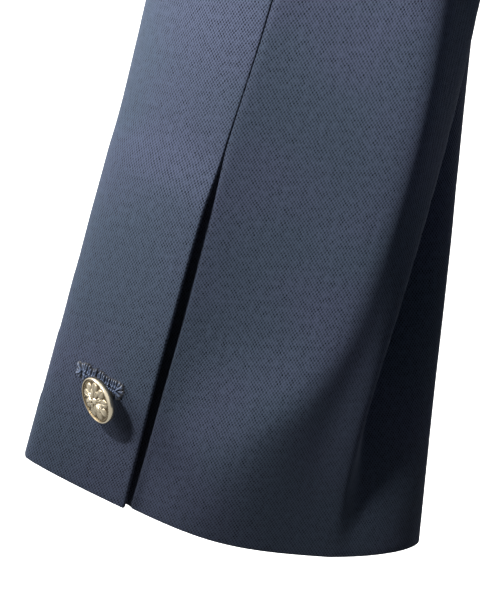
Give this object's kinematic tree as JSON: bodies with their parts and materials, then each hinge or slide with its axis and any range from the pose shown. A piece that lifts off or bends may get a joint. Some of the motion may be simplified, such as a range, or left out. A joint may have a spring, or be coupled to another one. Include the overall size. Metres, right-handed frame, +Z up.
{
  "type": "tailored jacket",
  "caption": "Single-breasted navy wool jacket, filled out as if worn, with notched lapels, two-piece sleeves and a buttoned vent at each cuff.",
  "frame": {"origin": "on the middle plane, level with the points where the shoulder seams meet the collar and 10 mm in front of them, where shoulders or a hanger carry the jacket", "axes": "+Z up, -Y the way the wearer faces, +X the wearer's left"},
  "size_m": [0.7518, 0.2738, 0.6733],
  "materials": {
    "navy_wool": "matt weave of navy wool",
    "antique_silver": "cast and tumbled, satin, warm silver"
  },
  "bodies": {
    "root": {"back_left": "navy_wool", "back_right": "navy_wool", "side_left": "navy_wool", "side_right": "navy_wool", "front_left": "navy_wool", "front_right": "navy_wool", "lapel_left": "navy_wool", "lapel_right": "navy_wool", "collar": "navy_wool", "topsleeve_left": "navy_wool", "topsleeve_right": "navy_wool", "undersleeve_left": "navy_wool", "undersleeve_right": "navy_wool", "button_front_upper": "antique_silver", "button_front_lower": "antique_silver", "button_cuff_left": "antique_silver", "button_cuff_right": "antique_silver"}
  },
  "joints": []
}
